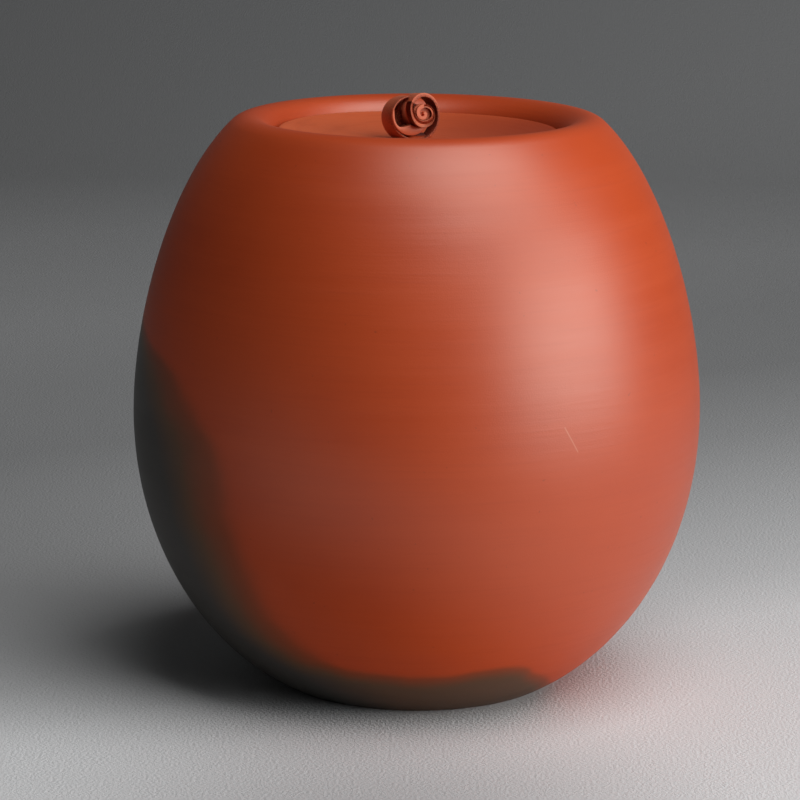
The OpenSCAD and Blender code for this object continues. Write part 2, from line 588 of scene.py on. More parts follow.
@dataclass(frozen=True)
class Scratch:
    """One fine light scratch, from a lower to an upper end, in millimetres."""

    start: tuple[float, float, float] = (49.6, -78.7, 93.6)
    end: tuple[float, float, float] = (45.4, -80.6, 101.6)
    width: float = 0.3
    core: float = 0.09
    colour: Colour = fired(222, 160, 132)
    strength: float = 0.3

    def cover(self, bench: NodeBench, place: Socket) -> Socket:
        """The scratch's share at each point, by its distance from the line between the two ends.

        Args:
            bench: Where the nodes are laid out.
            place: The place on the piece, in metres.

        Returns:
            1 within the scratch's core, falling to 0 at its width.
        """
        first = Vector(self.start) * MM
        way = Vector(self.end) * MM - first
        gap = bench.vector("SUBTRACT", place, first).outputs[0]
        along = bench.vector("DOT_PRODUCT", gap, way / way.length_squared).outputs["Value"]
        foot = bench.add("ShaderNodeVectorMath", operation="SCALE")
        foot.inputs[0].default_value = way
        bench.feed(foot.inputs["Scale"], bench.calc("MULTIPLY", along, 1.0, clamp=True))
        apart = bench.vector("DISTANCE", gap, foot.outputs[0]).outputs["Value"]
        return bench.step(apart, self.width * MM, self.core * MM)


@dataclass(frozen=True)
class RedClay:
    """Red clay, fired without a glaze, and rubbed to a satin sheen with a pebble where it shows.

    Scales are lumps to the metre, those of the strokes and threads sideways and upright, and
    depths are in metres. Gloss and dull are the roughness of burnished and of unburnished clay;
    the colour for unburnished clay is a painted shade on the knob, for its recesses. The painted
    side shade gives the two places from left to right between which a painted shade darkens the
    colour, lighter to the left where the light falls, and polish the two heights between which the
    sheen comes up, with the share of x that is added to the height, all in metres.
    """

    name: str
    body: Colour = fired(188, 66, 16)
    warm: Colour = fired(195, 72, 20)
    deep: Colour = fired(179, 60, 14)
    fleck: Colour = fired(140, 46, 18)
    raw_and_shade: Colour = fired(190, 98, 66)
    browned: Colour = fired(138, 62, 29)
    smoked: Colour = fired(100, 70, 50)
    sooted: Colour = fired(68, 65, 62)
    sheen: float = 1.0
    smoked_sheen: float = 0.5
    foot_sheen: float = 0.2
    sheen_tint: Colour = (1.0, 0.98, 0.9)
    gloss: float = 0.43
    dull: float = 0.77
    lump_scale: float = 15.0
    fleck_scale: float = 480.0
    stroke_scale: tuple[float, float] = (8.0, 170.0)
    thread_scale: tuple[float, float] = (28.0, 900.0)
    grain_scale: float = 2400.0
    warm_share: float = 0.35
    deep_share: float = 0.3
    fleck_share: float = 0.55
    stroke_dulling: float = 0.05
    thread_dulling: float = 0.02
    grain_depth: float = 0.00003
    stroke_depth: float = 0.00006
    # Painted light and shade across a piece: the two places where it runs from light to dark, left to
    # right.
    painted_side_shade: tuple[float, float] | None = None
    polish: tuple[float, float, float] | None = None
    cloud: FireCloud | None = None
    scratch: Scratch | None = None

    def colour(self, bench: NodeBench, place: Socket, strokes: Socket, threads: Socket) -> Socket:
        """The burnished clay's colour: a drift, or painted light and shade from left to right, with level
        strokes and rare flecks.

        Args:
            bench: Where the nodes are laid out.
            place: The place on the piece, in metres.
            strokes: Noise stretched level, as wide as a burnishing stroke.
            threads: Noise stretched level, as fine as the marks in a stroke.

        Returns:
            The colour.
        """
        if self.painted_side_shade is None:
            lumps = bench.noise(place, self.lump_scale)
            drift = bench.blend(bench.step(lumps, 0.3, 0.7), self.deep, self.warm)
            shade = bench.blend(0.5, drift, self.body)
        else:
            # Painted light and shade: lighter to the left, darker to the right, as the light falls on the
            # lid.
            shade = bench.blend(bench.step(bench.split(place)[0], *self.painted_side_shade), self.warm, self.deep)
        flecks = bench.noise(place, self.fleck_scale, 1.5)
        for pattern, low, high, share, over in (
                (strokes, 0.4, 0.7, self.warm_share, self.warm),
                (threads, 0.5, 0.75, self.deep_share, self.deep),
                (flecks, 0.74, 0.82, self.fleck_share, self.fleck)):
            shade = bench.blend(bench.span(bench.step(pattern, low, high), 0.0, share), shade, over)
        return shade

    def polished(self, bench: NodeBench, place: Socket) -> Value:
        """The sheen at each point: weaker near the foot, where the pebble pressed less.

        Args:
            bench: Where the nodes are laid out.
            place: The place on the piece, in metres.

        Returns:
            The specular level, or its one value on a piece that is polished evenly.
        """
        if self.polish is None:
            return self.sheen
        low, high, slant = self.polish
        east, _, up = bench.split(place)
        level = bench.calc("MULTIPLY_ADD", east, slant, up)
        return bench.span(bench.step(level, low, high), self.foot_sheen, self.sheen)

    def make(self) -> bpy.types.Material:
        """Builds the node material.

        Returns:
            The material.
        """
        bench = NodeBench(self.name)
        place = bench.add("ShaderNodeTexCoord").outputs["Object"]
        # The share of unburnished clay, which on the knob is painted shade.
        raw_and_shade = bench.add("ShaderNodeAttribute", attribute_name=RAW_AND_SHADE_SHARE).outputs["Fac"]
        strokes = bench.noise(bench.stretched(place, *self.stroke_scale), 1.0, 4.0, 0.6)
        threads = bench.noise(bench.stretched(place, *self.thread_scale), 1.0, 3.0, 0.6)
        grain = bench.noise(place, self.grain_scale, 3.0, 0.65)

        colour, sheen = self.colour(bench, place, strokes, threads), self.polished(bench, place)
        if self.cloud is not None:
            smoke = self.cloud.cover(bench, place)
            stained = bench.ramp(smoke, [
                (0.0, self.body), (0.3, self.browned), (0.65, self.smoked), (0.97, self.sooted)])
            colour = bench.blend(bench.step(smoke, 0.0, 0.25), colour, stained)
            sheen = bench.calc("MULTIPLY", sheen, bench.span(smoke, 1.0, self.smoked_sheen))
        if self.scratch is not None:
            mark = bench.span(self.scratch.cover(bench, place), 0.0, self.scratch.strength)
            colour = bench.blend(mark, colour, self.scratch.colour)
        # The unburnished colour, which on the knob is a dark painted shade for its recesses.
        raw_and_shade_colour = bench.blend(bench.step(grain, 0.35, 0.75), self.raw_and_shade, self.body)
        colour = bench.blend(raw_and_shade, colour, raw_and_shade_colour)

        roughness = bench.span(strokes, self.gloss - self.stroke_dulling, self.gloss + self.stroke_dulling)
        for more in (bench.span(threads, -self.thread_dulling, self.thread_dulling),
                     bench.span(raw_and_shade, 0.0, self.dull - self.gloss)):
            roughness = bench.calc("ADD", roughness, more)
        height = bench.bump(strokes, self.stroke_depth)
        for pattern in (threads, grain):
            height = bench.bump(pattern, self.grain_depth, height)

        shader = bench.add("ShaderNodeBsdfPrincipled")
        bench.feed(shader.inputs["Base Color"], colour)
        bench.feed(shader.inputs["Roughness"], roughness)
        bench.feed(shader.inputs["Normal"], height)
        bench.feed(shader.inputs["Specular IOR Level"], sheen)
        bench.feed(shader.inputs["Specular Tint"], self.sheen_tint)
        bench.feed(bench.output.inputs["Surface"], shader.outputs[0])
        return bench.material


@dataclass
class JarBody:
    """The thrown vessel: one closed shell from the hollow under the foot to the inside floor.

    A drift is its share, its waves round the jar, its millimetres of height a radian and its
    start. The spacings are those of the rings outside, under the foot, in the mouth, below the
    ledge and inside.
    """

    belly_r: float = 93.0
    belly_h: float = 90.0
    rim_h: float = 187.0
    base_r: float = 44.5
    base_slope: float = 26.5
    base_reach: float = 32.5
    belly_below: float = 40.0
    belly_above: float = 32.5
    shoulder_slope: float = 43.0
    shoulder_reach: float = 26.5
    wall_t: float = 6.0
    floor_t: float = 7.0
    hollow_r: float = 33.0
    hollow_depth: float = 1.6
    rim_r: float = 55.0
    rim_roll: float = 8.4
    seat_drop: float = 9.6
    seat_w: float = 5.6
    seat_t: float = 4.2
    foot_edge: float = 0.6
    seat_edge: float = 0.5
    nose_end: float = 250.0
    floor_ease: tuple[float, float] = (-0.4, -0.3)
    drifts: tuple[tuple[float, int, float, float], ...] = (
        (1.0, 2, 34.0, 0.7), (0.8, 3, -23.0, 2.1), (0.6, 5, 15.0, 0.0))
    drift_depth: float = 0.055
    ring_radian: float = 1.9
    ring_wander: float = 0.35
    ring_fade: float = 17.0
    ring_depth: float = 0.018
    smooth_r: float = 50.0
    smooth_reach: float = 20.0
    around: int = 256
    outline_steps: int = 400
    rim_steps: int = 40
    nose_steps: int = 12
    spacing: float = 1.6
    under_spacing: float = 2.5
    mouth_spacing: float = 1.0
    throat_spacing: float = 1.2
    inside_spacing: float = 3.0
    finish: RedClay = RedClay(
        "burnished_jar_clay", polish=(0.03, 0.085, 0.5), cloud=FireCloud(), scratch=Scratch())

    @property
    def mouth_r(self) -> float:
        """Radius of the mouth's upright wall."""
        return self.rim_r - self.rim_roll

    @property
    def seat_z(self) -> float:
        """Height of the ledge that the lid rests on."""
        return self.rim_h - self.seat_drop

    def outer_line(self) -> np.ndarray:
        """The outside of the wall: a cubic from the foot to the belly and one from there to the rim.

        Returns:
            Points as (radius, height).
        """
        slope, lean = math.radians(self.base_slope), math.radians(self.shoulder_slope)
        start = np.array([self.base_r, 0.0])
        belly = np.array([self.belly_r, self.belly_h])
        roll = (np.array([self.rim_r, self.rim_h - self.rim_roll])
                + self.rim_roll * np.array([math.sin(lean), math.cos(lean)]))
        low = np.array([start, start + self.base_reach * np.array([math.cos(slope), math.sin(slope)]),
                        belly - [0, self.belly_below], belly])
        high = np.array([belly, belly + [0, self.belly_above],
                         roll + self.shoulder_reach * np.array([math.cos(lean), -math.sin(lean)]), roll])
        return np.concatenate([cubic(low, self.outline_steps), cubic(high, self.outline_steps)[1:]])

    def inner_line(self) -> np.ndarray:
        """The inside of the wall: the outside moved in along its normal by the wall's thickness.

        Returns:
            Points as (radius, height), from under the ledge down to the floor.
        """
        outer = self.outer_line()
        way = np.gradient(outer, axis=0)
        normal = np.c_[way[:, 1], -way[:, 0]] / np.linalg.norm(way, axis=1)[:, None]
        moved = outer - self.wall_t * normal
        keep = (moved[:, 1] > self.floor_t) & (moved[:, 1] < self.seat_z - self.seat_t - self.wall_t / 2)
        return moved[keep][::-1]

    def profile(self) -> tuple[np.ndarray, np.ndarray]:
        """The whole section, from the middle of the underside round to the middle of the floor.

        Returns:
            Points as (radius, height), and how far each is left unburnished, 0 to 1.
        """
        nose_r = self.seat_t / 2
        seat_r = self.mouth_r - self.seat_w
        inner = self.inner_line()
        under = np.array([[0.0, self.hollow_depth], [self.hollow_r - self.hollow_depth, self.hollow_depth],
                          [self.hollow_r, 0.0], [self.base_r - self.foot_edge, 0.0]])
        # The outline's first two points give way to the foot's rounded edge.
        outer = self.outer_line()[2:]
        rim = arc((self.rim_r, self.rim_h - self.rim_roll), self.rim_roll,
                  90 - self.shoulder_slope, 180, self.rim_steps)
        mouth = np.array([[self.mouth_r, self.seat_z + self.seat_edge],
                          [self.mouth_r - self.seat_edge, self.seat_z]])
        nose = arc((seat_r + nose_r, self.seat_z - nose_r), nose_r, 90, self.nose_end, self.nose_steps)
        throat = np.concatenate([nose[-1:], inner[:1]])
        floor = np.array([inner[-1] + self.floor_ease, [inner[-1][0] - self.wall_t / 2, self.floor_t],
                          [0.0, self.floor_t]])
        sections = [
            (resample(under, self.under_spacing), 1.0), (resample(outer, self.spacing), 0.0),
            (rim[1:], 0.0), (resample(mouth, self.mouth_spacing), 0.0), (nose, 0.3),
            (resample(throat, self.throat_spacing)[1:-1], 1.0),
            (resample(inner, self.inside_spacing), 1.0), (resample(floor, self.inside_spacing), 1.0)]
        line = np.concatenate([points for points, _ in sections])
        raw_and_shade = np.concatenate([np.full(len(points), share) for points, share in sections])
        return line, raw_and_shade

    def handwork(self, radius: np.ndarray, height: np.ndarray, turn: np.ndarray) -> np.ndarray:
        """How far the potter's hand left each point short of a true circle.

        A few slow sines of the azimuth and the height stand for the drift of the wall, and a
        finer one of the height for the throwing rings, which come and go. All of it is inwards,
        and fades out where the jar narrows to its foot and its rim.

        Args:
            radius: Radius of each ring.
            height: Height of each ring.
            turn: Azimuth of each point of a ring.

        Returns:
            What is added to the radius, in millimetres, rings by points: zero or less.
        """
        level = height[:, None]
        drift = sum(share * (np.sin(waves * turn + level / radian + start) - 1)
                    for share, waves, radian, start in self.drifts)
        rings = (np.sin(level / self.ring_radian + self.ring_wander * np.sin(turn + 1.0))
                 * (0.5 + 0.5 * np.sin(level / self.ring_fade + turn)))
        wall = ease((radius[:, None] - self.smooth_r) / self.smooth_reach)
        return wall * (self.drift_depth * drift + self.ring_depth * (rings - 1.0))

    def build(self) -> bpy.types.Object:
        """Turns the section round the axis with the handwork added, and dresses it.

        Returns:
            The jar.
        """
        line, raw_and_shade = self.profile()
        turn = round_turn(self.around)
        rings = line[1:-1]
        radius = rings[:, :1] + self.handwork(rings[:, 0], rings[:, 1], turn)
        points = turned_points(radius * np.cos(turn), radius * np.sin(turn), rings[:, 1:],
                               line[0, 1], line[-1, 1])
        piece = make_mesh("water_jar_body", points, turned_faces(len(rings), self.around),
                          np.r_[raw_and_shade[0], np.repeat(raw_and_shade[1:-1], self.around), raw_and_shade[-1]])
        piece.data.materials.append(self.finish.make())
        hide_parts("jar_body")
        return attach(piece, Body.JAR.value)


@dataclass(frozen=True)
class SlipBed:
    """The slip smeared round the knob's foot: a low fillet that falls away from its footprint.

    The footprint is a rounded oblong, turned with the knob: left to right and front to back.
    """

    turned: float = 21.5
    left: float = -5.0
    right: float = 3.6
    front: float = -4.6
    back: float = 3.2
    rounding: float = 1.5
    height: float = 1.6
    reach: float = 2.5

    def rise(self, east: np.ndarray, north: np.ndarray) -> np.ndarray:
        """Height of the slip: height times (1 - distance to the footprint over the reach) squared.

        Args:
            east: Places to the right of the lid's middle.
            north: Places behind the lid's middle.

        Returns:
            The height at each place, full under the knob.
        """
        aside = math.radians(self.turned)
        across = east * math.cos(aside) + north * math.sin(aside)
        ahead = east * math.sin(aside) - north * math.cos(aside)
        beside = np.maximum(self.left - across, across - self.right) + self.rounding
        beyond = np.maximum(self.front - ahead, ahead - self.back) + self.rounding
        apart = np.maximum(np.hypot(np.maximum(beside, 0), np.maximum(beyond, 0)) - self.rounding, 0)
        return self.height * np.clip(1 - apart / self.reach, 0, 1) ** 2


@dataclass
class LidPlate:
    """The dished disc that drops on to the ledge, its left edge a little higher than its right.

    The warp starts at a share of the radius right of the middle and is full a span further left.
    """

    gap: float = 0.9
    seat_z: float = JarBody.rim_h - JarBody.seat_drop
    seat_r: float = JarBody.rim_r - JarBody.rim_roll - JarBody.seat_w
    edge_r: float = JarBody.rim_r - JarBody.rim_roll - gap
    edge_t: float = 4.6
    dish: float = 3.0
    spot_r: float = 11.0
    rounding: float = 1.1
    warp: float = 0.9
    warp_start: float = 0.35
    warp_span: float = 1.1
    warp_clear: float = 8.0
    wave_depth: float = 0.03
    wave_rate: float = 1.9
    wave_wander: float = 0.3
    fine_r: float = 14.0
    around: int = 300
    outer_rings: int = 28
    fine_rings: int = 44
    edge_steps: int = 8
    under_spacing: float = 2.0
    slip: SlipBed = SlipBed()
    # Its warm and deep colours are painted light on the lid's left and painted shade on its right.
    finish: RedClay = RedClay(
        "burnished_lid_clay", body=fired(192, 78, 36), warm=fired(212, 96, 52), deep=fired(166, 56, 16),
        sheen=0.7, gloss=0.45, painted_side_shade=(-0.035, 0.045))

    def profile(self) -> tuple[np.ndarray, int]:
        """The section: under the middle, out to the edge, and back over the dished top.

        Returns:
            Points as (radius, height), and how many of them belong to the underside and edge.
        """
        inner = self.edge_r - self.rounding
        top = self.seat_z + self.edge_t
        reach = np.r_[np.linspace(inner, self.fine_r, self.outer_rings)[1:],
                      np.linspace(self.fine_r, 0.0, self.fine_rings)[1:]]
        rise = (np.clip(reach - self.spot_r, 0, None) / (inner - self.spot_r)) ** 2
        dished = top - self.dish + self.dish * rise
        under = np.array([[0.0, self.seat_z - self.dish], [self.spot_r, self.seat_z - self.dish],
                          [self.seat_r - self.gap, self.seat_z], [inner, self.seat_z]])
        low = np.concatenate([
            resample(under, self.under_spacing)[:-1],
            arc((inner, self.seat_z + self.rounding), self.rounding, 270, 360, self.edge_steps)])
        high = np.concatenate([
            arc((inner, top - self.rounding), self.rounding, 0, 90, self.edge_steps),
            np.c_[reach, dished]])
        return np.concatenate([low, high]), len(low)

    def build(self) -> bpy.types.Object:
        """Turns the section, raises its left edge, beds the knob in slip and dresses it.

        The upper face rises towards the left by a smooth step of x over the radius, clear of
        the middle, fine turning rings are a small sine of the radius, and the slip lies over them.

        Returns:
            The lid.
        """
        line, low = self.profile()
        turn = round_turn(self.around)
        reach, level = line[1:-1, :1], line[1:-1, 1:]
        east, north = reach * np.cos(turn), reach * np.sin(turn)
        upper = (np.arange(len(reach)) >= low - 1)[:, None]
        lift = (self.warp * ease((self.warp_start - east / self.edge_r) / self.warp_span)
                * ease((reach - self.spot_r) / self.warp_clear))
        waves = self.wave_depth * np.sin(reach * self.wave_rate + self.wave_wander * np.sin(turn))
        height = level + upper * (lift + waves + self.slip.rise(east, north))
        points = turned_points(east, north, height, line[0, 1], line[-1, 1] + self.slip.height)
        piece = make_mesh("water_jar_lid", points, turned_faces(len(reach), self.around))
        piece.data.materials.append(self.finish.make())
        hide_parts("lid_plate")
        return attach(piece, Body.LID.value)


@dataclass(frozen=True)
class PressedWeb:
    """Clay pressed across the coil from behind: a thin disc in the coil's plane.

    Its front is painted dark, as the shade in the coil's pocket, to the share given.
    """

    middle: tuple[float, float]
    radius: float
    front: float
    thickness: float
    raw_and_shade: float
    around: int = 72
    flat_steps: int = 4
    edge_steps: int = 8

    def line(self) -> np.ndarray:
        """The disc's section between its two poles.

        Returns:
            Points as (distance from the middle, forward), from the back round to the front.
        """
        edge = self.thickness / 2
        flat = np.linspace(0.0, self.radius - edge, self.flat_steps + 1)[1:-1]
        back, front = np.full_like(flat, self.front - self.thickness), np.full_like(flat, self.front)
        side = arc((self.radius - edge, self.front - edge), edge, -90, 90, self.edge_steps)
        return np.concatenate([np.c_[flat, back], side, np.c_[flat[::-1], front]])

    def rings(self) -> tuple[np.ndarray, np.ndarray, np.ndarray]:
        """The disc turned about its middle.

        Returns:
            Across, rise and forward of each point, in the order that turned faces take.
        """
        reach, forward = np.hsplit(self.line(), 2)
        turn = round_turn(self.around)
        across, rise, forward = turned_points(reach * np.cos(turn), reach * np.sin(turn), forward,
                                              self.front - self.thickness, self.front).T
        return self.middle[0] + across, self.middle[1] + rise, forward

    def shaded(self) -> np.ndarray:
        """How dark each point of the disc is painted as shade: its front only."""
        in_front = self.line()[:, 1] > self.front - self.thickness / 2
        return self.raw_and_shade * np.r_[0.0, np.repeat(in_front, self.around), 1.0]

    def faces(self, first: int) -> list[np.ndarray]:
        """The disc's faces, its points counted on from the first number."""
        return [first + block for block in turned_faces(len(self.line()), self.around)]


@dataclass(frozen=True)
class ThumbedPad:
    """The clay thumbed over the front of the coil, low on its left: a thin crescent.

    It is drawn in the coil's plane. Angles are from straight down, negative to the left, and
    the inner edge is a radius at each angle. Where it is thin, the bevel is a share of it.
    """

    middle: tuple[float, float] = (-4.06, -0.29)
    outer_r: float = 6.45
    inner_edge: Stations = (
        (-114, 6.25), (-103, 5.82), (-90, 5.66), (-80, 5.64), (-69, 5.66), (-57, 5.59), (-47, 5.25),
        (-36, 4.46), (-23, 3.64), (-8, 3.0), (8.5, 3.25), (22.6, 3.9), (36, 4.9), (45.5, 5.96), (50, 6.4))
    front: float = 4.0
    back: float = -3.5
    bevel: float = 0.15
    bevel_share: float = 0.4
    steps: int = 120

    def rings(self) -> tuple[np.ndarray, np.ndarray, np.ndarray]:
        """The crescent's sections, from its right tip round to its left one.

        Returns:
            Across, rise and forward of each point, sections by points.
        """
        angle = np.linspace(self.inner_edge[-1][0], self.inner_edge[0][0], self.steps + 1)[:, None]
        inner = through(self.inner_edge, angle)
        bevel = np.minimum(self.bevel, self.bevel_share * (self.outer_r - inner))
        outer = np.full_like(inner, self.outer_r)
        reach = np.hstack([outer - bevel, outer, outer, inner, inner, inner + bevel])
        front, back = np.full_like(inner, self.front), np.full_like(inner, self.back)
        forward = np.hstack([front, front - bevel, back, back, front - bevel, front])
        turn = np.radians(angle)
        return self.middle[0] + reach * np.sin(turn), self.middle[1] - reach * np.cos(turn), forward

    def shaded(self) -> np.ndarray:
        """How dark each point of the pad is painted as shade: the inner wall, deepest at its back."""
        return np.r_[np.tile([0.0, 0.0, 0.0, 1.0, 0.5, 0.0], self.steps + 1), 0.0, 0.0]


@dataclass
class CurledKnob:
    """One ribbon of clay rolled into a tight scroll and carried on into a larger loop.

    The coil is drawn in its own plane, across and up from the scroll's core, and runs back from
    its front edge along its axis. The axis leans back and is turned to the right. Places along
    the ribbon are quarter turns from its inner tip.
    """

    foot_z: float = LidPlate.seat_z + LidPlate.edge_t - LidPlate.dish
    width: float = 8.4
    turned: float = SlipBed.turned
    lean: float = 7.0
    loop_front: float = 3.5
    scroll_push: float = 3.0
    push_quarters: float = 3.0
    loop_flare: float = 0.5
    core_left: float = 0.9
    core_h: float = 7.75
    last_quarter: float = 11.8
    radii: tuple[float, ...] = (0.5, 0.8, 1.3, 1.6, 2.45, 3.5, 3.3, 3.4, 6.1, 5.75, 8.15, 9.35, 5.2)
    thicknesses: Stations = (
        (0, 0.5), (0.5, 0.9), (2, 1.15), (3, 1.2), (4, 1.2), (5, 0.95), (5.7, 1.8), (6.1, 1.95), (6.6, 1.6),
        (7, 1.35), (7.5, 1.27), (8, 1.25), (8.5, 0.95), (9, 0.8), (9.5, 0.7), (11, 0.7), (11.8, 0.6))
    edge_rounding: Stations = ((0, 0.22), (9, 0.22), (10, 0.46), (11.8, 0.46))
    tip_quarters: float = 0.9
    tip_share: float = 0.45
    flare_start: float = 8.0
    waver: float = 0.1
    waver_rate: float = 1.7
    waver_start: float = 1.1
    # Painted shade: where it starts on the inner face and on the loop's front edge, and how dark that edge
    # is painted.
    shade_start: float = 6.5
    edge_shade_start: float = 8.4
    edge_shade: float = 0.8
    steps: int = 800
    corner_points: int = 6
    pad: ThumbedPad = ThumbedPad()
    # The first web's front is painted fully dark as shade, the second's partly.
    webs: tuple[PressedWeb, ...] = (
        PressedWeb(ThumbedPad.middle, 5.9, -3.7, 0.8, 1.0), PressedWeb((-0.9, 0.0), 3.3, 5.3, 1.2, 0.3))
    finish: RedClay = RedClay(
        # On the knob the colour for unburnished clay is a dark painted shade for the coil's recesses.
        "modelled_knob_clay", body=fired(208, 102, 66), warm=fired(216, 114, 78), deep=fired(196, 90, 54),
        raw_and_shade=fired(104, 36, 18), sheen=0.6, gloss=0.52, grain_depth=0.00006)

    def radius(self, quarter: np.ndarray) -> np.ndarray:
        """Radius of the coil: a smooth curve through the radii at each quarter turn.

        Each stretch is the cubic whose slopes at its ends are half the step between the
        neighbours on either side.

        Args:
            quarter: Quarter turns from the inner tip.

        Returns:
            The radius at each.
        """
        radii = np.array(self.radii)
        here = np.floor(quarter).astype(int)
        t = quarter - here
        a, b, c, d = (radii[np.clip(here + k, 0, len(radii) - 1)] for k in (-1, 0, 1, 2))
        return b + t * ((c - a) + t * ((2 * a - 5 * b + 4 * c - d) + t * (3 * (b - c) + d - a))) / 2

    def wide(self, quarter: np.ndarray) -> np.ndarray:
        """Width of the ribbon: full, rounded off towards both ends like a quarter circle."""
        s = np.clip(np.minimum(quarter, self.last_quarter - quarter) / self.tip_quarters, 0, 1)
        return self.width * (self.tip_share + (1 - self.tip_share) * np.sqrt(s * (2 - s)))

    def ribbon(self) -> tuple[np.ndarray, np.ndarray, np.ndarray]:
        """The ribbon's sections: an oblong with rounded edges, carried along the coil.

        A corner is a quarter circle: its points lie back from the front or the back edge by the
        rounding times one plus or minus the cosine, and outwards by the rounding times the sine.
        The front edge wavers by a small sine of the way along, and the loop flares to its back.

        Returns:
            Across, rise and forward of each point, sections by points.
        """
        quarter = np.linspace(0, self.last_quarter, self.steps + 1)[:, None]
        count = self.corner_points
        corners = np.radians(np.linspace([180, 90, 0, -90], [90, 0, -90, -180], count, axis=1)).ravel()
        at_back = np.repeat([0, 1, 1, 0], count)
        outwards = np.repeat([1, 1, -1, -1], count)
        thick = through(self.thicknesses, quarter)
        rounding = through(self.edge_rounding, quarter) * thick
        wide = self.wide(quarter)
        waver = (self.waver * np.sin(self.waver_rate * quarter + self.waver_start)
                 * np.minimum(1, quarter / 2))
        back = (at_back * wide + rounding * (1 - 2 * at_back + np.cos(corners))
                + waver * (1 - 2 * at_back))
        out = (thick / 2 - rounding) * outwards + rounding * np.sin(corners)
        flare = self.loop_flare * ease((quarter - self.flare_start) / 2)
        r = self.radius(quarter) + out + flare * back / self.width
        turn = quarter * FULL_TURN / 4
        push = self.scroll_push * ease((self.last_quarter - 1 - quarter) / self.push_quarters)
        forward = self.loop_front + push - (self.width - wide) / 2 - back
        return r * np.sin(turn) - self.core_left, r * np.cos(turn), forward

    def shaded(self) -> np.ndarray:
        """How dark each point of the ribbon is painted as shade.

        The inner face takes painted shade from the scroll's left on, and the loop's front edge nearly as
        much, standing in for the shadow in the coil's recesses and on its shaded edge.

        Returns:
            A share for each point, with the middles of the two tips last.
        """
        quarter = np.linspace(0, self.last_quarter, self.steps + 1)[:, None]
        inner = np.repeat([0.0, 0.0, 1.0, 1.0], self.corner_points)
        front = np.repeat([1.0, 0.0, 0.0, 1.0], self.corner_points)
        raw_and_shade = np.maximum(inner * ease(quarter - self.shade_start),
                         self.edge_shade * front * ease(2 * (quarter - self.edge_shade_start)))
        return np.r_[raw_and_shade.ravel(), 0.0, 0.0]

    def placed(self, across: np.ndarray, rise: np.ndarray, forward: np.ndarray) -> np.ndarray:
        """Stands the coil's plane on the lid: leaned back, turned aside, and pressed flat below.

        Args:
            across: Places to the right in the coil's plane.
            rise: Places above the core in the coil's plane.
            forward: Places in front of the lid's middle along the coil's axis.

        Returns:
            The points, with x, y and z last.
        """
        lean, aside = math.radians(self.lean), math.radians(self.turned)
        loop_back = self.loop_front - self.width
        reach = forward - loop_back
        ahead = loop_back + reach * math.cos(lean) - rise * math.sin(lean)
        up = np.maximum(0, self.core_h + rise * math.cos(lean) + reach * math.sin(lean))
        return np.stack([across * math.cos(aside) + ahead * math.sin(aside),
                         across * math.sin(aside) - ahead * math.cos(aside), self.foot_z + up], axis=-1)

    def build(self) -> bpy.types.Object:
        """Makes the ribbon, its pad and its webs, each closed, as one piece, and dresses it.

        Returns:
            The knob.
        """
        ribbon, sides = carried(self.placed(*self.ribbon()))
        pad, pad_sides = carried(self.placed(*self.pad.rings()), len(ribbon))
        points, faces, raw_and_shade = [ribbon, pad], sides + pad_sides, [self.shaded(), self.pad.shaded()]
        for web in self.webs:
            faces += web.faces(sum(map(len, points)))
            points.append(self.placed(*web.rings()))
            raw_and_shade.append(web.shaded())
        piece = make_mesh("curled_ribbon_knob", np.concatenate(points), faces, np.concatenate(raw_and_shade))
        piece.data.materials.append(self.finish.make())
        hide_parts("curled_knob")
        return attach(piece, Body.LID.value)


@dataclass(frozen=True)
class Lamp:
    """One soft box: where it hangs, its size and its power."""

    name: str
    place: tuple[float, float, float]
    size: tuple[float, float]
    power: float
    aim: tuple[float, float, float] = (0.0, 0.0, 0.095)

    def build(self) -> bpy.types.Object:
        """Hangs the soft box and turns it to its aim.

        Returns:
            The lamp.
        """
        data = bpy.data.lights.new(self.name, "AREA")
        data.shape = "RECTANGLE"
        data.size, data.size_y = self.size
        data.energy = self.power
        lamp = bpy.data.objects.new(self.name, data)
        lamp.location = self.place
        lamp.rotation_euler = (Vector(self.aim) - Vector(self.place)).to_track_quat("-Z", "Y").to_euler()
        bpy.context.scene.collection.objects.link(lamp)
        return lamp


